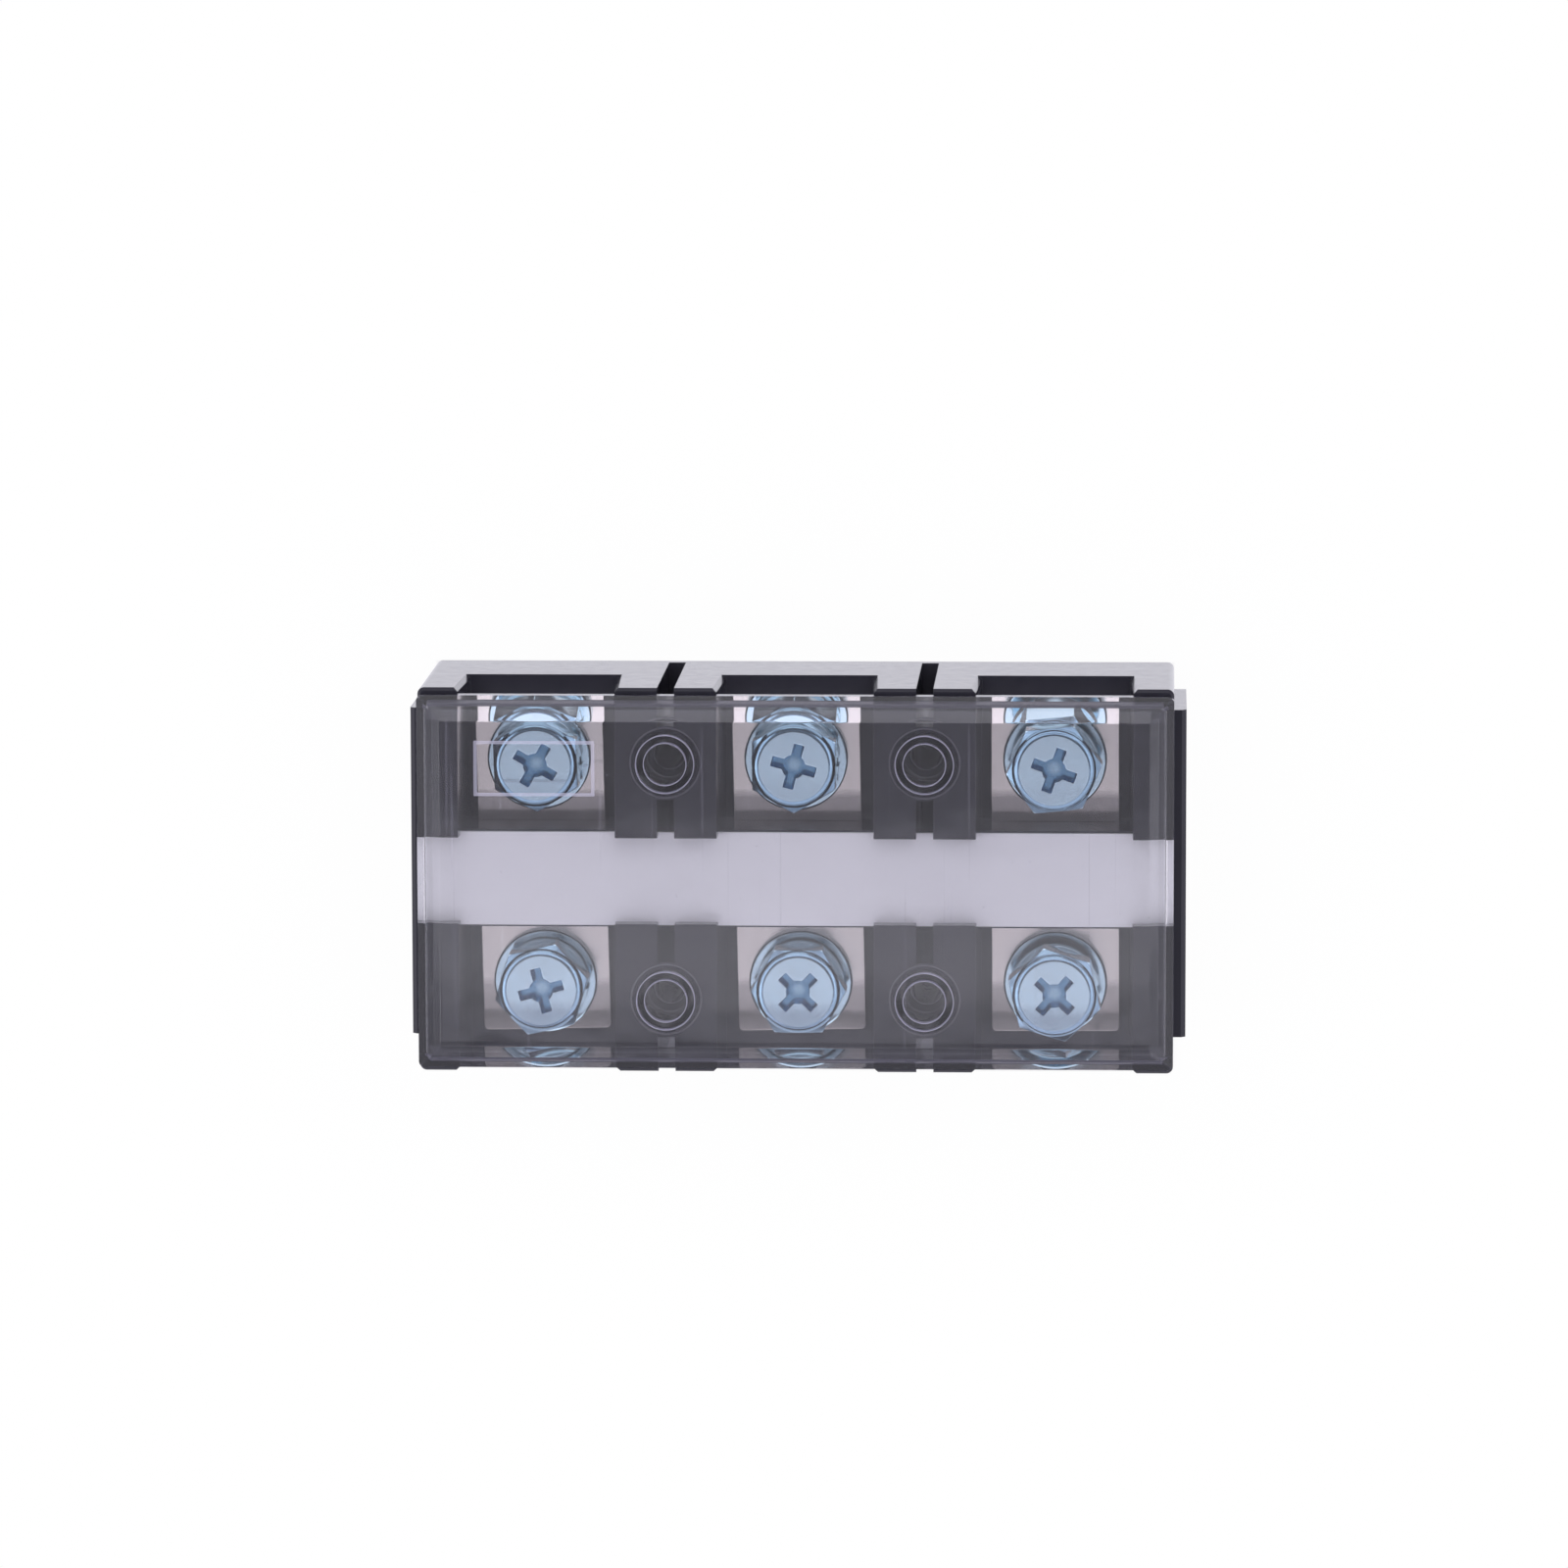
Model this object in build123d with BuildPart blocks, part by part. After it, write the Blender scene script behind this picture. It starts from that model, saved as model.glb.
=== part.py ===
# Covered barrier terminal strip: three poles, two rows of screw terminals.
# Origin at the middle of the base, +X along the row of poles, +Y towards the
# visible wire entries, +Z up. All sizes are in millimetres.
import math
import os

from build123d import *

os.makedirs("parts", exist_ok=True)

# Poles and rows
pole_count = 3
pole_pitch = 31.0
# From the open front of a bay to the axis of its screw
row_inset = 9.6
# How far each conductor has turned in its bay, degrees
pole_askew = (1.3, 1.1, 0.2)

# Housing moulding
end_wall = 4.85
bay_width_rim = 18.8
bay_width_floor = 17.9
body_depth = 46.4
# From the crown of a tight screw up to the rim
crown_to_rim = 2.6
bay_floor = 14.0
mouth_chamfer = 0.5
corner_radius = 0.8
rim_chamfer = 0.3
pad_reach = 1.5
pad_inset = 3.3
pad_height = 20.4
pad_chamfer = 0.5

# Slit along each barrier
slit_width = 2.05
slit_floor = 1.6
boss_radius = 4.5

# Fixing holes, with the counterbores that take the cover's pegs
fixing_inset = 8.9
fixing_radius = 1.8
counterbore_radius = 3.6
counterbore_depth = 9.0
counterbore_chamfer = 0.6

# Conductor plates
plate_width = 15.4
plate_inset = 3.5
plate_thickness = 2.5
plate_corner = 0.6
passage_clearance = 0.25

# Terminal screws and their washers
thread_radius = 2.93
thread_clearance = 0.07
shank_length = 12.0
tip_chamfer = 0.6
head_flats = 10.0
head_height = 5.2
crown_radius = 4.2
crown_round = 0.55
head_chamfer_angle = 30.0
head_foot_chamfer = 0.3
recess_span = 5.5
recess_width = 1.3
recess_waist = 1.45
recess_depth = 2.4
recess_taper = 5.0
flat_washer_radius = 6.25
flat_washer_thickness = 1.5
flat_washer_round = 0.25
washer_bore_clearance = 0.3
spring_washer_radius = 5.3
spring_washer_thickness = 1.6
spring_washer_gap = 1.0
spring_washer_cut_angle = 20.0
tip_room = 1.0
well_clearance = 0.7

# Rows of terminals: name, side of the ridge, how far each head stands off its seat,
# then the angles of the hexagons and of their cross recesses, degrees
rows = (
    ("a", 1, (0.0, 0.4, 3.2), (32.0, 30.0, 6.0), (60.0, 75.0, 70.0)),
    ("b", -1, (0.8, 1.3, 3.2), (13.0, 0.0, 43.0), (15.0, 45.0, 48.0)),
)

# Marking strip and the ridge that carries it
washer_to_ridge = 1.45
strip_inset = 0.25
strip_thickness = 0.5
strip_depth = 2.7
strip_clearance = 0.15
strip_end_gap = 0.1
lip_overlap = 0.45

# Coring of the underside
core_roof = 2.5
well_slot_width = 3.2
well_slot_length = 12.6
well_wall = 1.9
ridge_wall = 1.6
ridge_core_length = 6.9
ridge_core_rib = 1.5

# Transparent cover, as long as the housing and set back from its open fronts
cover_ledge = 0.7
skirt_height = 1.7
skirt_wall = 1.2
top_wall = 2.5
bevel_run = 2.85
bevel_drop = 2.3
bevel_round = 0.3
cavity_round = 0.3
cover_corner = 0.7
peg_clearance = 0.15
peg_wall = 0.85
peg_depth = 7.5
field_length = 14.4
field_width = 6.6
field_line = 0.35
field_relief = 0.12
field_margin = 2.35

# Derived sizes
poles = [(i - (pole_count - 1) / 2) * pole_pitch for i in range(pole_count)]
body_length = (pole_count - 1) * pole_pitch + bay_width_rim + 2 * end_wall
row_offset = body_depth / 2 - row_inset
fixing_spacing = body_depth - 2 * fixing_inset
pad_width = body_depth - 2 * pad_inset
plate_length = body_depth - 2 * plate_inset
plate_top = bay_floor + plate_thickness
washer_top = plate_top + flat_washer_thickness
head_seat = washer_top + spring_washer_thickness
rim_height = head_seat + head_height + crown_to_rim
washer_bore = thread_radius + washer_bore_clearance
ridge_half = row_offset - flat_washer_radius - washer_to_ridge
ridge_width = 2 * ridge_half
ridge_core_width = ridge_width - 2 * ridge_wall
strip_width = ridge_width - 2 * strip_inset
strip_seat = rim_height - strip_depth
cover_length = body_length
cover_depth = body_depth - 2 * cover_ledge
cover_top = rim_height + skirt_height + bevel_drop
cover_ceiling = cover_top - top_wall
field_y = cover_depth / 2 - bevel_run - field_margin - field_width / 2
# How far cuts run past a face, and how close counts as the same place
past = 1.0
near = 0.05


def bay_half(height):
    """Half width of a bay at a height: its side walls lean apart towards the rim."""
    share = (height - bay_floor) / (rim_height - bay_floor)
    return (bay_width_floor + (bay_width_rim - bay_width_floor) * share) / 2


def bay_section(bottom):
    """Corners of a bay's section from a height up to above the rim."""
    top = rim_height + past
    low, high = bay_half(bottom), bay_half(top)
    return ((-low, bottom), (low, bottom), (high, top), (-high, top))


def terminal_place(pole, side):
    """Where a terminal's axis stands, with the turn of its conductor."""
    turn = math.radians(pole_askew[pole])
    return (
        poles[pole] - side * row_offset * math.sin(turn),
        side * row_offset * math.cos(turn),
    )


# Housing: one black moulding with two rows of bays, barriers, ridge and end pads
with BuildPart() as housing:
    with BuildSketch():
        Rectangle(body_length, body_depth)
    extrude(amount=rim_height)
    fillet(housing.edges().filter_by(Axis.Z), radius=corner_radius)
    chamfer(housing.faces().sort_by(Axis.Z)[-1].edges(), length=rim_chamfer)

    # Flat pads that stand proud of both ends
    with BuildSketch():
        Rectangle(body_length + 2 * pad_reach, pad_width)
    extrude(amount=pad_height)
    pad_ends = housing.faces().filter_by(Axis.X).group_by(Axis.X)
    chamfer([end[0].edges().sort_by(Axis.Z)[-1] for end in (pad_ends[0], pad_ends[-1])], length=pad_chamfer)

    # Open-fronted bays, three on each side of the ridge
    for side in (1, -1):
        with BuildSketch(Plane.XZ.offset(-side * ridge_half)):
            for pole_x in poles:
                with Locations((pole_x, 0)):
                    Polygon(*bay_section(bay_floor), align=None)
        extrude(amount=-side * body_depth, mode=Mode.SUBTRACT)
    mouth_edges = housing.edges().filter_by(
        lambda e: abs(abs(e.center().Y) - body_depth / 2) < near
        and any(abs(abs(e.center().X - x) - bay_half(e.center().Z)) < near for x in poles)
    )
    chamfer(mouth_edges, length=mouth_chamfer)

    # The ridge stops at the strip's seat inside the bays
    with BuildSketch(Plane.XZ.offset(-ridge_half)):
        for pole_x in poles:
            with Locations((pole_x, 0)):
                Polygon(*bay_section(strip_seat), align=None)
    extrude(amount=ridge_width, mode=Mode.SUBTRACT)

    # Undercut slot through barriers and end walls, where lips hold the strip down
    slot_height = strip_thickness + strip_clearance
    with BuildSketch(Plane.XY.offset(strip_seat)):
        Rectangle(body_length + 2 * past, strip_width + 2 * strip_clearance)
    extrude(amount=slot_height, mode=Mode.SUBTRACT)
    with BuildSketch(Plane.XY.offset(strip_seat)):
        Rectangle(body_length + 2 * past, strip_width - 2 * lip_overlap)
    extrude(amount=rim_height, mode=Mode.SUBTRACT)

    # Slit down the middle of each barrier, stopped by the round bosses
    with BuildSketch(Plane.XY.offset(slit_floor)):
        with GridLocations(pole_pitch, 0, pole_count - 1, 1):
            Rectangle(slit_width, body_depth + 2 * past)
        with GridLocations(pole_pitch, fixing_spacing, pole_count - 1, 2):
            Circle(boss_radius, mode=Mode.SUBTRACT)
    extrude(amount=rim_height, mode=Mode.SUBTRACT)

    # Counterbored fixing holes in the bosses
    with Locations(Plane.XY.offset(rim_height)):
        with GridLocations(pole_pitch, fixing_spacing, pole_count - 1, 2):
            CounterBoreHole(fixing_radius, counterbore_radius, counterbore_depth, rim_height)
    entries = housing.edges().filter_by(GeomType.CIRCLE).filter_by(
        lambda e: abs(e.center().Z - rim_height) < near and abs(e.radius - counterbore_radius) < near
    )
    chamfer(entries, length=counterbore_chamfer)

    # Passage for each conductor under the ridge
    with BuildSketch(Plane.XZ.offset(-ridge_half - past)):
        for pole_x in poles:
            with Locations((pole_x, bay_floor)):
                Rectangle(
                    plate_width + 2 * passage_clearance,
                    plate_thickness + passage_clearance,
                    align=(Align.CENTER, Align.MIN),
                )
    extrude(amount=ridge_width + 2 * past, mode=Mode.SUBTRACT)

    # Wells for the tips of the screws
    well_radius = thread_radius + well_clearance
    well_bottom = head_seat - shank_length - tip_room
    with BuildSketch(Plane.XY.offset(well_bottom)):
        with GridLocations(pole_pitch, 2 * row_offset, pole_count, 2):
            Circle(well_radius)
    extrude(amount=bay_floor - well_bottom, mode=Mode.SUBTRACT)

    # Cores on the underside, beside each well and below the ridge
    slot_x = well_radius + well_wall + well_slot_width / 2
    core_x = (ridge_core_length + ridge_core_rib) / 2
    with BuildSketch():
        for pole_x in poles:
            with Locations((pole_x, 0)):
                with GridLocations(2 * slot_x, 2 * row_offset, 2, 2):
                    Rectangle(well_slot_width, well_slot_length)
                with GridLocations(2 * core_x, 0, 2, 1):
                    Rectangle(ridge_core_length, ridge_core_width)
    extrude(amount=bay_floor - core_roof, mode=Mode.SUBTRACT)
housing.part.label = "housing"
export_step(housing.part, "parts/housing.step")

# Conductor plates: one tapped bar per pole, through the ridge from row to row
for pole, pole_x in enumerate(poles):
    place = Plane(origin=(pole_x, 0, bay_floor)).rotated((0, 0, pole_askew[pole]))
    with BuildPart() as plate:
        with BuildSketch(place):
            RectangleRounded(plate_width, plate_length, plate_corner)
            with GridLocations(0, 2 * row_offset, 1, 2):
                Circle(thread_radius + thread_clearance, mode=Mode.SUBTRACT)
        extrude(amount=plate_thickness)
    plate.part.label = f"conductor_plate_{pole + 1}"
    export_step(plate.part, f"parts/{plate.part.label}.step")

# Terminal hardware: hexagon head screw with cross recess, spring washer, flat washer
for row, side, lifts, hexagon_angles, recess_angles in rows:
    for pole in range(pole_count):
        x, y = terminal_place(pole, side)
        lift = lifts[pole]
        name = f"{row}{pole + 1}"
        seat = head_seat + lift
        crown = seat + head_height

        with BuildPart() as flat_washer:
            with BuildSketch(Plane(origin=(x, y, plate_top))):
                Circle(flat_washer_radius)
                Circle(washer_bore, mode=Mode.SUBTRACT)
            extrude(amount=flat_washer_thickness)
            rim_edge = flat_washer.edges().filter_by(
                lambda e: e.geom_type == GeomType.CIRCLE and abs(e.radius - flat_washer_radius) < near
            ).sort_by(Axis.Z)[-1]
            fillet(rim_edge, radius=flat_washer_round)
        flat_washer.part.label = f"flat_washer_{name}"
        export_step(flat_washer.part, f"parts/{flat_washer.part.label}.step")

        # Split ring: the cut across it leans, so the ends lap
        with BuildPart() as spring_washer:
            with BuildSketch(Plane(origin=(x, y, seat - spring_washer_thickness))):
                Circle(spring_washer_radius)
                Circle(washer_bore, mode=Mode.SUBTRACT)
            extrude(amount=spring_washer_thickness)
            cut = Plane(
                origin=(x + spring_washer_radius, y, seat - spring_washer_thickness / 2),
                x_dir=(0, 1, 0),
                z_dir=(1, 0, 0),
            ).rotated((0, 0, spring_washer_cut_angle))
            with BuildSketch(cut):
                Rectangle(spring_washer_gap, spring_washer_thickness + 2 * past)
            extrude(amount=spring_washer_radius - washer_bore / 2, both=True, mode=Mode.SUBTRACT)
        spring_washer.part.label = f"spring_washer_{name}"
        export_step(spring_washer.part, f"parts/{spring_washer.part.label}.step")

        with BuildPart() as screw:
            with BuildSketch(Plane(origin=(x, y, seat))):
                RegularPolygon(head_flats / 2, 6, major_radius=False, rotation=hexagon_angles[pole])
            extrude(amount=head_height)
            # Turned outline of the head: crown, rounded shoulder, chamfer, foot
            corner = head_flats / math.sqrt(3)
            shoulder = crown - crown_round
            chamfer_drop = (corner - head_flats / 2) * math.tan(math.radians(head_chamfer_angle))
            with BuildSketch(Plane(origin=(x, y, 0), x_dir=(1, 0, 0), z_dir=(0, -1, 0))):
                with BuildLine():
                    Polyline(
                        (crown_radius, crown),
                        (0, crown),
                        (0, seat),
                        (corner - head_foot_chamfer, seat),
                        (corner, seat + head_foot_chamfer),
                        (corner, shoulder - chamfer_drop),
                        (head_flats / 2, shoulder),
                    )
                    TangentArc((crown_radius, crown), (head_flats / 2, shoulder), tangent=(1, 0))
                make_face()
            revolve(axis=Axis((x, y, 0), (0, 0, 1)), mode=Mode.INTERSECT)
            with BuildSketch(Plane(origin=(x, y, seat - shank_length))):
                Circle(thread_radius)
            extrude(amount=shank_length)
            chamfer(screw.faces().sort_by(Axis.Z)[0].edges(), length=tip_chamfer)
            with BuildSketch(Plane(origin=(x, y, crown)).rotated((0, 0, recess_angles[pole]))):
                Rectangle(recess_span, recess_width)
                Rectangle(recess_width, recess_span)
                Circle(recess_waist)
            extrude(amount=-recess_depth, taper=recess_taper, mode=Mode.SUBTRACT)
        screw.part.label = f"terminal_screw_{name}"
        export_step(screw.part, f"parts/{screw.part.label}.step")

# Marking strip: a flat white band that lies on the ridge from end to end
with BuildPart() as marking_strip:
    with BuildSketch(Plane.XY.offset(strip_seat)):
        Rectangle(body_length - 2 * strip_end_gap, strip_width)
    extrude(amount=strip_thickness)
marking_strip.part.label = "marking_strip"
export_step(marking_strip.part, "parts/marking_strip.step")


def bevelled_section(plane, length):
    """Upright section of the cover: straight skirt, sloping bevel, flat top."""
    half = length / 2
    inner = half - bevel_run
    skirt_top = rim_height + skirt_height
    with BuildSketch(plane) as section:
        Polygon(
            (-half, rim_height),
            (half, rim_height),
            (half, skirt_top),
            (inner, cover_top),
            (-inner, cover_top),
            (-half, skirt_top),
            align=None,
        )
    return section.sketch


# Cover: clear moulded lid with bevelled edges and four hollow pegs
with BuildPart() as cover:
    extrude(bevelled_section(Plane.XZ, cover_length), amount=cover_depth / 2, both=True)
    extrude(bevelled_section(Plane.YZ, cover_depth), amount=cover_length / 2, both=True, mode=Mode.INTERSECT)
    fillet(cover.edges().filter_by(Axis.Z), radius=cover_corner)
    fillet(cover.faces().sort_by(Axis.Z)[-1].edges(), radius=bevel_round)
    with BuildPart(mode=Mode.SUBTRACT) as cavity:
        with BuildSketch(Plane.XY.offset(rim_height)):
            Rectangle(cover_length - 2 * skirt_wall, cover_depth - 2 * skirt_wall)
        extrude(amount=cover_ceiling - rim_height)
        fillet(cavity.edges().filter_by(Axis.Z), radius=cavity_round)
        fillet(cavity.faces().sort_by(Axis.Z)[-1].edges(), radius=cavity_round)

    # Hollow pegs that drop into the counterbores
    peg_radius = counterbore_radius - peg_clearance
    with BuildSketch(Plane.XY.offset(rim_height - peg_depth)):
        with GridLocations(pole_pitch, fixing_spacing, pole_count - 1, 2):
            Circle(peg_radius)
            Circle(peg_radius - peg_wall, mode=Mode.SUBTRACT)
    extrude(amount=cover_ceiling - rim_height + peg_depth)

    # Raised outline of the bare field on the top
    with BuildSketch(Plane.XY.offset(cover_top)):
        with Locations((poles[0], field_y)):
            Rectangle(field_length, field_width)
            Rectangle(field_length - 2 * field_line, field_width - 2 * field_line, mode=Mode.SUBTRACT)
    extrude(amount=field_relief)
cover.part.label = "cover"
export_step(cover.part, "parts/cover.step")
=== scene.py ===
import math

import bmesh
import bpy
from mathutils import Matrix


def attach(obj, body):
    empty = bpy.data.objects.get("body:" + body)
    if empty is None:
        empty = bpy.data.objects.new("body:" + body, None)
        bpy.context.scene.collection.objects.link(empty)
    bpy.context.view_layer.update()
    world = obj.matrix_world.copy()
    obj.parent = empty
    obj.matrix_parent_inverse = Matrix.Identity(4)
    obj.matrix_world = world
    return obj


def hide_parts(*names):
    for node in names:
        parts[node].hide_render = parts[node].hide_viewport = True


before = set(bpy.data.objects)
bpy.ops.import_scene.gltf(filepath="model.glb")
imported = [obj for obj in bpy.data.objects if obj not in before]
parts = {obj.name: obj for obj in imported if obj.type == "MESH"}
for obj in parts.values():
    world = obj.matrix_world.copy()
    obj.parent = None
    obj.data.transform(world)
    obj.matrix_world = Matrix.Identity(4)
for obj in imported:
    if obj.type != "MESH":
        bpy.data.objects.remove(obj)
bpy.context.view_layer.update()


# View and light: the block lies on a white sheet and is seen almost straight from
# above, from a place a little towards the wire entries of row a. The sky is a set of
# soft panels, and its dim gap is where flat plates mirror it to the camera.
class Wire:
    """A socket of a node tree that takes part in plain arithmetic."""

    def __init__(self, tree, socket=None):
        self.tree = tree
        self.socket = socket

    def node(self, kind, settings=(), inputs=(), output=0):
        """Adds a node: its settings first, then its sockets' values or links."""
        made = self.tree.nodes.new(kind)
        for name, value in dict(settings).items():
            if name == "stops":
                ramp = made.color_ramp
                while len(ramp.elements) < len(value):
                    ramp.elements.new(0.5)
                for stop, (position, colour) in zip(ramp.elements, value):
                    stop.position = position
                    stop.color = colour if isinstance(colour, tuple) else (colour, colour, colour, 1)
            else:
                setattr(made, name, value)
        for name, value in dict(inputs).items():
            if isinstance(value, Wire):
                self.tree.links.new(value.socket, made.inputs[name])
            else:
                made.inputs[name].default_value = value
        return Wire(self.tree, made.outputs[output] if made.outputs else None)

    def maths(self, operation, *values):
        return self.node("ShaderNodeMath", {"operation": operation}, enumerate(values))

    def __add__(self, other):
        return self.maths("ADD", self, other)

    def __sub__(self, other):
        return self.maths("SUBTRACT", self, other)

    def __rsub__(self, other):
        return self.maths("SUBTRACT", other, self)

    def __mul__(self, other):
        return self.maths("MULTIPLY", self, other)

    def __truediv__(self, other):
        return self.maths("DIVIDE", self, other)

    def __gt__(self, other):
        return self.maths("GREATER_THAN", self, other)

    def __lt__(self, other):
        return self.maths("LESS_THAN", self, other)

    __radd__ = __add__
    __rmul__ = __mul__


def start_material(name):
    """A new material and the wire of its object coordinates."""
    material = bpy.data.materials.new(name)
    material.use_nodes = True
    material.node_tree.nodes.clear()
    return material, Wire(material.node_tree).node("ShaderNodeTexCoord", output="Object")


def blend(factor, one, other):
    """Mixes two colours by a factor from 0 to 1."""
    return factor.node("ShaderNodeMix", {"data_type": "RGBA"}, {0: factor, 6: one, 7: other}, 2)


def between(value, low, high):
    """0 at low, 1 at high, straight between them and held outside."""
    return value.node("ShaderNodeMapRange", (), {"Value": value, "From Min": low, "From Max": high})


def axes_of(vector):
    """The x, y and z of a vector, one wire each."""
    return [vector.node("ShaderNodeSeparateXYZ", (), {0: vector}, axis) for axis in "XYZ"]


def magnitude(value):
    return value.maths("ABSOLUTE", value)


scene = bpy.context.scene
scene.view_settings.view_transform = "Standard"
camera = bpy.data.objects.new("camera", bpy.data.cameras.new("camera"))
scene.collection.objects.link(camera)
camera.data.sensor_width = 36
camera.data.lens = 191.25
camera_place = Matrix.Translation((0.04309, 0.14513, 1.01356))
for axis, lean in (("X", -7.705), ("Y", 2.556), ("Z", 0.207)):
    camera_place = camera_place @ Matrix.Rotation(math.radians(lean), 4, axis)
camera.matrix_world = camera_place
scene.camera = camera

world = bpy.data.worlds.new("studio")
world.use_nodes = True
world.node_tree.nodes.clear()
scene.world = world
heading = Wire(world.node_tree).node("ShaderNodeTexCoord", output="Generated")
east, north, up = axes_of(heading)
rise = up.maths("MAXIMUM", up, 0.05)
# Slopes of a heading away from the row a entries and to either side
slope = (0 - north) / rise
aside = magnitude(east) / rise
panel = heading.node(
    "ShaderNodeValToRGB",
    {
        "stops": (
            (0.0, 0.18),
            (0.12, 0.24),
            (0.173, 0.50),
            (0.24, 0.52),
            (0.257, 0.46),
            (0.29, 0.95),
            (0.377, 1.45),
            (0.40, 1.45),
            (0.42, 1.00),
            (0.45, 1.00),
            (0.467, 0.35),
            (0.90, 0.35),
            (1.0, 1.00),
        )
    },
    {"Fac": between(slope, 0.10, 0.25)},
)
for angle, near, far, level in (
    (aside, 0.40, 0.60, 1.60),
    (aside, 1.10, 1.60, 0.85),
    (slope, -0.30, -0.45, 1.40),
    (slope, -0.80, -1.20, 0.45),
    (slope, 0.25, 0.32, 1.20),
    (slope, 1.00, 1.60, 0.60),
):
    panel = blend(between(angle, near, far), panel, (level, level, level, 1))
daylight_tint = (0.985, 0.975, 1.075, 1)
panel = heading.node(
    "ShaderNodeMix",
    {"data_type": "RGBA", "blend_type": "MULTIPLY"},
    {0: 1.0, 6: panel, 7: daylight_tint},
    2,
)
seen = heading.node("ShaderNodeLightPath", output="Is Camera Ray")
sky = heading.node("ShaderNodeBackground", (), {"Color": panel, "Strength": 1.07})
backdrop = heading.node("ShaderNodeBackground", (), {"Color": (1, 1, 1, 1), "Strength": 1})
heading.node(
    "ShaderNodeOutputWorld",
    (),
    {"Surface": heading.node("ShaderNodeMixShader", (), {0: seen, 1: sky, 2: backdrop})},
)

for name, place, size, power in (
    ("panel_front", (-0.10, 1.15, 0.60), 0.8, 1.8),
    ("panel_side", (-1.1, -0.3, 0.8), 0.7, 1.4),
):
    lamp = bpy.data.objects.new(name, bpy.data.lights.new(name, "AREA"))
    scene.collection.objects.link(lamp)
    lamp.data.shape = "SQUARE"
    lamp.data.size = size
    lamp.data.energy = power
    lamp.location = place
    lamp.rotation_euler = (-lamp.location).to_track_quat("-Z", "Y").to_euler()

sheet_mesh = bpy.data.meshes.new("sheet")
shape = bmesh.new()
bmesh.ops.create_grid(shape, x_segments=1, y_segments=1, size=6)
shape.to_mesh(sheet_mesh)
shape.free()
sheet = bpy.data.objects.new("sheet", sheet_mesh)
scene.collection.objects.link(sheet)
white_sheet, spot = start_material("white_sheet")
direct = spot.node("ShaderNodeLightPath", output="Is Camera Ray")
glow_colour = blend(direct, (0.98, 0.97, 1.06, 1), (1, 1, 1, 1))
glow = spot.node("ShaderNodeEmission", (), {"Color": glow_colour, "Strength": 1})
for ray in ("Is Glossy Ray", "Is Transmission Ray"):
    direct = spot.maths("MAXIMUM", direct, spot.node("ShaderNodeLightPath", output=ray))
# How far a spot lies outside the foot of the block and of its end pads. The sheet is
# whited out from there on, and plain paper under the block.
body_half = (0.0453, 0.0232)
pad_half = (0.0468, 0.0199)
foot_blur = (-0.0010, 0.0001)
x, y, z = axes_of(spot)
off_body = spot.maths("MAXIMUM", magnitude(x) - body_half[0], magnitude(y) - body_half[1])
off_pads = spot.maths("MAXIMUM", magnitude(x) - pad_half[0], magnitude(y) - pad_half[1])
clear_by = spot.maths("MINIMUM", off_body, off_pads)
# Painted contact shadow along the foot of the row b side, soft at its ends
band_front = (-0.0277, -0.0262)
band_back = -0.0215
band_ends = (0.0462, 0.0370)
shade = between(y, *band_front) * (y < band_back) * between(magnitude(x), *band_ends)
open_sheet = between(clear_by, *foot_blur) * (1 - shade)
white_out = open_sheet * (0.97 + 0.03 * between(clear_by, 0.002, 0.04))
paper_colour = blend(shade, (0.9, 0.9, 0.9, 1), (0.17, 0.17, 0.185, 1))
paper = spot.node("ShaderNodeBsdfDiffuse", (), {"Color": paper_colour})
spot.node(
    "ShaderNodeOutputMaterial",
    (),
    {"Surface": spot.node("ShaderNodeMixShader", (), {0: direct * white_out, 1: paper, 2: glow})},
)
sheet.data.materials.append(white_sheet)


# Housing: one black thermoset moulding. Bays, barriers, ridge, bosses and end pads
# come out of the mould together, with a fine satin skin, faint flow marks and
# edges that the tool leaves slightly round.
def dress(material, *names):
    """Gives CAD nodes a material in every slot."""
    for name in names:
        slots = parts[name].material_slots
        for slot in slots:
            slot.material = material
        if not slots:
            parts[name].data.materials.append(material)


def edge_bevel_and_highlight(place, radius):
    """The rounded normal of sharp edges, and a mask that is 1 along them; where the mask pales a colour, that
    is a painted highlight.
    """
    soft = place.node("ShaderNodeBevel", {"samples": 6}, {"Radius": radius})
    flat = place.node("ShaderNodeNewGeometry", output="Normal")
    match = place.node("ShaderNodeVectorMath", {"operation": "DOT_PRODUCT"}, {0: soft, 1: flat}, "Value")
    return soft, between(match, 0.985, 0.86)


def noise(place, scale, detail=2.0, roughness=0.5):
    """Soft cloudy variation around 0.5, its grain a number of times per metre."""
    return place.node(
        "ShaderNodeTexNoise", (), {"Vector": place, "Scale": scale, "Detail": detail, "Roughness": roughness}
    )


def raised(place, height, distance, normal=None):
    """The normal of a surface with small heights on it, in metres at a height of 1."""
    inputs = {"Height": height, "Distance": distance}
    if normal:
        inputs["Normal"] = normal
    return place.node("ShaderNodeBump", (), inputs)


def finish(place, shader):
    place.node("ShaderNodeOutputMaterial", (), {"Surface": shader})


black_moulding, spot = start_material("black_moulding")
round_edge, edge = edge_bevel_and_highlight(spot, 0.00018)
cloud = noise(spot, 90, 3)
grain = noise(spot, 5200, 2)
skin = raised(spot, grain, 0.0000003, raised(spot, cloud, 0.00005, round_edge))
shade = blend(cloud, (0.022, 0.021, 0.030, 1), (0.034, 0.033, 0.044, 1))
# Edges painted paler: a painted highlight along them
shade = blend(edge * 0.5, shade, (0.075, 0.075, 0.085, 1))
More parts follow.
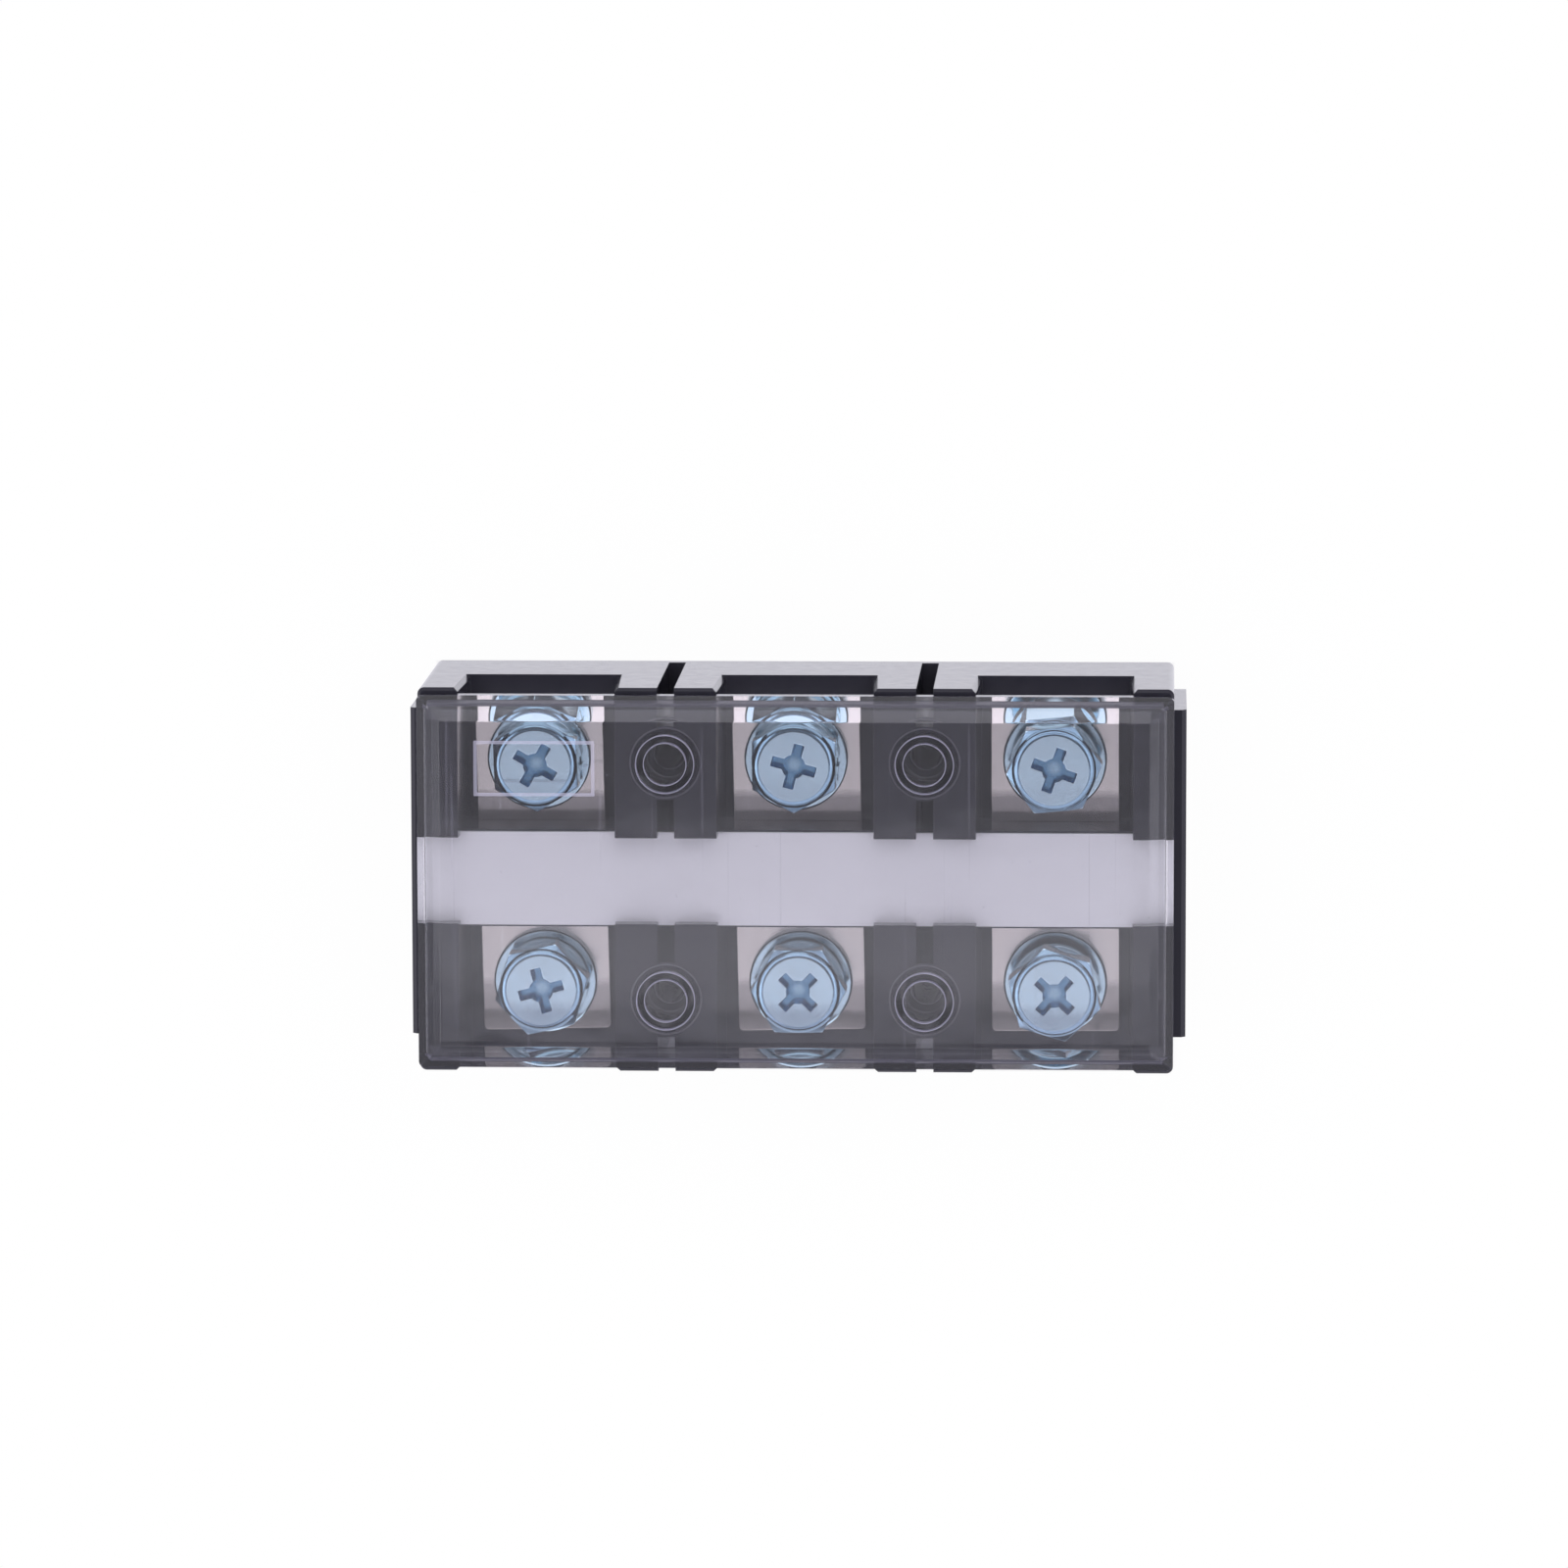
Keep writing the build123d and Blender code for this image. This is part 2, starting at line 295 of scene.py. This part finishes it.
# Painted highlights on the lips of the counterbores and of the screw holes in them
fixing_place = (0.0155, 0.0143)
counterbore_lip = 0.0042
hole_lip = 0.00185
near_rim = 0.0271
x, y, z = axes_of(spot)
x = magnitude(x) - fixing_place[0]
y = magnitude(y) - fixing_place[1]
radius = spot.maths("SQRT", x * x + y * y)
lip_highlight = between(magnitude(radius - counterbore_lip), 0.00014, 0.00006) * (z > near_rim) * 0.3
lip_highlight = lip_highlight + between(magnitude(radius - hole_lip), 0.00016, 0.00008) * 0.8
shade = blend(lip_highlight * (0.5 + 0.6 * cloud), shade, (0.42, 0.41, 0.46, 1))
# A thin gloss on walls that stand upright
facing = axes_of(spot.node("ShaderNodeNewGeometry", output="Normal"))
lying = magnitude(facing[2])
finish(
    spot,
    spot.node(
        "ShaderNodeBsdfPrincipled",
        (),
        {
            "Base Color": shade,
            "Roughness": 0.12 + 0.14 * noise(spot, 700, 3) + 0.06 * edge,
            "IOR": 1.5,
            "Specular IOR Level": 0.26,
            "Coat Weight": 0.5 * (1 - lying),
            "Normal": skin,
        },
    ),
)
dress(black_moulding, "housing")


# Conductor plates: tin-plated brass bars, sheared and tapped. The dull plating has
# faint rolling lines along the bar, cloudy stains and a few random scratches.
tin_plate, spot = start_material("tin_plate")
round_edge, edge = edge_bevel_and_highlight(spot, 0.00012)
along = spot.node("ShaderNodeMapping", (), {"Vector": spot, "Scale": (1, 0.04, 1)})
rolling = noise(along, 3800, 3)
stain = noise(spot, 160, 4, 0.6)
across = spot.node("ShaderNodeMapping", (), {"Vector": spot, "Rotation": (0, 0, 0.9), "Scale": (1, 0.012, 1)})
scratch = between(noise(across, 1400, 1), 0.66, 0.72)
tone = blend(stain, (0.80, 0.735, 0.69, 1), (0.91, 0.855, 0.81, 1))
tone = blend(scratch * 0.5, tone, (0.97, 0.96, 0.95, 1))
# Painted dark reflection: darker bands beside the ridge and towards the row b ends, where the
# plates look dark in the photo, most likely from what they mirror
ridge_band = (0.0101, 0.0090)
entry_band = (-0.0130, -0.0142)
x, y, z = axes_of(spot)
y = y + 0.0006 * stain
painted_dark_reflection = between(y, *ridge_band) * (y > 0) * 0.62 + between(y, *entry_band) * 0.45
tone = blend(painted_dark_reflection, tone, (0.10, 0.095, 0.11, 1))
finish(
    spot,
    spot.node(
        "ShaderNodeBsdfPrincipled",
        (),
        {
            "Base Color": tone,
            "Metallic": 1.0,
            "Roughness": 0.11 + 0.08 * stain + 0.07 * rolling - 0.05 * scratch,
            "Normal": raised(spot, rolling - scratch, 0.0000015, round_edge),
        },
    ),
)
dress(tin_plate, "conductor_plate_1", "conductor_plate_2", "conductor_plate_3")


# Terminal hardware: steel screws, spring washers and flat washers, barrel-plated with
# zinc and blue passivated. The heads are cold-formed with faint rings, the cross recess
# is painted a deeper blue as shade, and a rolled thread winds up the core of each shank.
pole_places = (-0.031, 0.0, 0.031)
row_offset = 0.0136
askew = (1.3, 1.1, 0.2)
head_lifts = {"a": (0.0, 0.0004, 0.0032), "b": (0.0008, 0.0013, 0.0032)}
head_seat = 0.0196
head_height = 0.0052
crown_radius = 0.0042
crown_skin = 0.00012
chamfer_drop = 0.0009
recess_reach = 0.00285
ring_spacing = 2 * math.pi / 52000
dark_reflection_share = {"a": 0.2, "b": 0.9}
shank_radius = 0.00293
shank_length = 0.012
core_radius = 0.00245
core_segments = 32
tip_height = 0.0005
tip_taper = 0.0004
thread_pitch = 0.001
thread_start = 0.0009
thread_length = 0.0104
sunk = 0.0001
root_half = 0.44 * thread_pitch
crest_half = 0.07 * thread_pitch
ring_steps = 24
run_out_steps = 16


def threaded(name, node, body, centre, material):
    """A copy of a screw whose plain shank gives way to a core and a helical ridge."""
    x, y, seat = centre
    source = parts[node].data
    shape = bmesh.new()
    shape.from_mesh(source)
    # The head keeps the shading normals of the CAD mesh, so that its crown stays flat
    kept = shape.loops.layers.float_vector.new("kept")
    for face, polygon in zip(shape.faces, source.polygons):
        for loop, corner in zip(face.loops, polygon.loop_indices):
            loop[kept] = source.corner_normals[corner].vector
    bmesh.ops.remove_doubles(shape, verts=shape.verts, dist=1e-7)
    on_shank = {
        vert
        for vert in shape.verts
        if math.hypot(vert.co.x - x, vert.co.y - y) < shank_radius + 2e-5 and vert.co.z < seat + 2e-6
    }
    plain = [face for face in shape.faces if on_shank.issuperset(face.verts)]
    bmesh.ops.delete(shape, geom=plain, context="FACES")
    bmesh.ops.holes_fill(shape, edges=[edge for edge in shape.edges if edge.is_boundary], sides=0)
    # Core with a tapered tip, sunk a little into the seat
    tip = seat - shank_length
    core_bottom = tip + tip_height
    core_top = seat + 0.0002
    for low, high, low_radius in (
        (tip, core_bottom, core_radius - tip_taper),
        (core_bottom, core_top, core_radius),
    ):
        bmesh.ops.create_cone(
            shape,
            cap_ends=True,
            segments=core_segments,
            radius1=low_radius,
            radius2=core_radius,
            depth=high - low,
            matrix=Matrix.Translation((x, y, (low + high) / 2)),
        )
    # Ridge: a trapezoid wound up the core ring by ring, dying away at both ends
    steps = int(thread_length / thread_pitch * ring_steps)
    rings = []
    for step in range(steps + 1):
        angle = 2 * math.pi * step / ring_steps
        height = tip + thread_start + thread_pitch * step / ring_steps
        share = min(1, step / run_out_steps, (steps - step) / run_out_steps)
        crest = core_radius + (shank_radius - core_radius) * share
        ring = []
        for radius, rise in (
            (core_radius - sunk, -root_half),
            (crest, -crest_half),
            (crest, crest_half),
            (core_radius - sunk, root_half),
        ):
            place = (x + radius * math.cos(angle), y + radius * math.sin(angle), height + rise)
            ring.append(shape.verts.new(place))
        rings.append(ring)
    for low, high in zip(rings, rings[1:]):
        for corner in range(4):
            other = (corner + 1) % 4
            shape.faces.new((low[corner], high[corner], high[other], low[other]))
    shape.faces.new(rings[0])
    shape.faces.new(rings[-1])
    bmesh.ops.recalc_face_normals(shape, faces=shape.faces)
    for face in shape.faces:
        face.smooth = True
        face.material_index = 0
    mesh = bpy.data.meshes.new(name)
    shape.to_mesh(mesh)
    shape.free()
    # The stored normals belong to the unmerged mesh, so they are set afresh
    if "custom_normal" in mesh.attributes:
        mesh.attributes.remove(mesh.attributes["custom_normal"])
    mesh.set_sharp_from_angle(angle=math.radians(20))
    new_normals = [corner.vector.copy() for corner in mesh.corner_normals]
    head_normals = [corner.vector.copy() for corner in mesh.attributes["kept"].data]
    mesh.normals_split_custom_set(
        [head if head.length > 0.5 else new for head, new in zip(head_normals, new_normals)]
    )
    mesh.attributes.remove(mesh.attributes["kept"])
    mesh.materials.clear()
    mesh.materials.append(material)
    screw = bpy.data.objects.new(name, mesh)
    scene.collection.objects.link(screw)
    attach(screw, body)
    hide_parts(node)


for row, side in (("a", 1), ("b", -1)):
    for pole in range(3):
        turn = math.radians(askew[pole])
        centre = (
            pole_places[pole] - side * row_offset * math.sin(turn),
            side * row_offset * math.cos(turn),
            head_seat + head_lifts[row][pole],
        )
        name = f"{row}{pole + 1}"
        zinc, spot = start_material(f"blue_zinc_{name}")
        # Coordinates from the middle of the head's seat
        from_seat = spot.node("ShaderNodeVectorMath", {"operation": "SUBTRACT"}, {0: spot, 1: centre})
        x, y, z = axes_of(from_seat)
        radius = spot.maths("SQRT", x * x + y * y)
        round_edge, edge = edge_bevel_and_highlight(spot, 0.00016)
        patch = noise(from_seat, 420, 3, 0.55)
        fine = noise(from_seat, 3000, 2)
        recess = (radius < recess_reach) * (z < head_height - crown_skin) * (z > 0.0)
        rings = spot.maths("SINE", radius * (2 * math.pi / ring_spacing))
        relief = (z > 0.0) * 0.12 * rings + 0.6 * fine
        tint = blend(patch, (0.58, 0.77, 0.87, 1), (0.67, 0.84, 0.93, 1))
        # Edges painted paler: a painted highlight along them
        tint = blend(edge * 0.25, tint, (0.90, 0.93, 0.95, 1))
        # Painted shade: the chamfer ring round the crown is darker blue
        crown_ring_shade = (z > head_height - chamfer_drop) * (radius > crown_radius)
        tint = blend(crown_ring_shade * 0.85, tint, (0.20, 0.33, 0.45, 1))
        # Painted shade in the cross recess, deeper blue, with a painted highlight paler at its middle
        recess_shade = blend(between(radius, 0.0010, 0.0004), (0.11, 0.27, 0.44, 1), (0.34, 0.52, 0.66, 1))
        # Lower third of the crown, painted darker after the photo: a painted dark reflection
        painted_dark_reflection = between(y, -0.0011, -0.0026) * (z > 0.004) * (0.30 + 0.3 * patch) * dark_reflection_share[row]
        tint = blend(painted_dark_reflection, tint, (0.20, 0.25, 0.34, 1))
        tint = blend(recess * 0.9, tint, recess_shade)
        finish(
            spot,
            spot.node(
                "ShaderNodeBsdfPrincipled",
                (),
                {
                    "Base Color": tint,
                    "Metallic": 1.0,
                    "Roughness": 0.08 + 0.07 * patch + 0.03 * fine,
                    "Normal": raised(spot, relief, 0.000002, round_edge),
                },
            ),
        )
        dress(zinc, f"spring_washer_{name}", f"flat_washer_{name}")
        threaded(f"threaded_screw_{name}", f"terminal_screw_{name}", f"screw_{name}", centre, zinc)


# Marking strip: a flat band of white styrene sheet that slides into the slots on top
# of the ridge. It is smooth, with a shallow wave along it from the roll.
white_strip, spot = start_material("white_strip")
round_edge, edge = edge_bevel_and_highlight(spot, 0.0001)
along = spot.node("ShaderNodeMapping", (), {"Vector": spot, "Scale": (1, 0.4, 1)})
wave = noise(along, 70, 2)
finish(
    spot,
    spot.node(
        "ShaderNodeBsdfPrincipled",
        (),
        {
            "Base Color": blend(wave, (0.90, 0.89, 0.91, 1), (0.95, 0.94, 0.95, 1)),
            "Roughness": 0.34 + 0.12 * noise(spot, 900, 3),
            "Normal": raised(spot, wave, 0.00025, round_edge),
        },
    ),
)
dress(white_strip, "marking_strip")


# Cover: a lid moulded in clear, faintly smoky styrene, with bevelled edges, four
# hollow pegs and the raised outline of a bare field. Its faces are polished, with
# moulding ripples, a little dust and hairline scratches.
smoky_clear, spot = start_material("smoky_clear")
round_edge, edge = edge_bevel_and_highlight(spot, 0.00012)
ripple = noise(spot, 120, 2)
dust = between(noise(spot, 2600, 1), 0.74, 0.80)
across = spot.node("ShaderNodeMapping", (), {"Vector": spot, "Rotation": (0, 0, 0.5), "Scale": (1, 0.01, 1)})
hairline = between(noise(across, 1700, 1), 0.71, 0.76)
clear = spot.node(
    "ShaderNodeBsdfPrincipled",
    (),
    {
        "Base Color": (0.94, 0.935, 0.965, 1),
        "Roughness": 0.01 + 0.03 * ripple,
        "IOR": 1.49,
        "Transmission Weight": 1.0,
        "Normal": raised(spot, ripple, 0.000012),
    },
)
# Less clear places: the bevels round the top and the field line. Edges and the ends of
# the pegs are painted pale, as painted highlights.
# The sides of the hollow are painted dark, to hide a bright line of refraction there.
top_half = (0.0439, 0.01965)
hollow_from = (0.04515, 0.0209)
hollow_to = (0.0456, 0.02135)
ceiling = 0.02898
bevel_foot = 0.0288
field_foot = 0.03143
peg_radii = (0.00345, 0.0026)
x, y, z = axes_of(spot)
x, y = magnitude(x), magnitude(y)
bevel = spot.maths("MAXIMUM", x - top_half[0], y - top_half[1]) > 0
bevel = bevel * (z > bevel_foot)
hollow = spot.maths("MAXIMUM", x - hollow_from[0], y - hollow_from[1]) > 0
hollow = hollow * (spot.maths("MAXIMUM", x - hollow_to[0], y - hollow_to[1]) < 0) * (z < ceiling)
x, y = x - fixing_place[0], y - fixing_place[1]
radius = spot.maths("SQRT", x * x + y * y)
beside = spot.maths("MINIMUM", *(magnitude(radius - wall) for wall in peg_radii))
peg_rim_highlight = (beside < 0.0001) * (z > 0.0272) * (z < ceiling)
field_line = z > field_foot
film = blend(hollow, (0.74, 0.72, 0.88, 1), (0.10, 0.095, 0.13, 1))
lint = spot.node(
    "ShaderNodeBsdfPrincipled",
    (),
    {"Base Color": film, "Roughness": 1.0, "Specular IOR Level": 0.0},
)
veil = 0.006 + 0.10 * dust + 0.05 * hairline + 0.22 * edge + 0.30 * field_line
veil = veil + 0.02 * bevel + 0.9 * hollow + 0.7 * peg_rim_highlight
veil = spot.maths("MINIMUM", veil, 1.0)
finish(spot, spot.node("ShaderNodeMixShader", (), {0: veil, 1: clear, 2: lint}))
dress(smoky_clear, "cover")
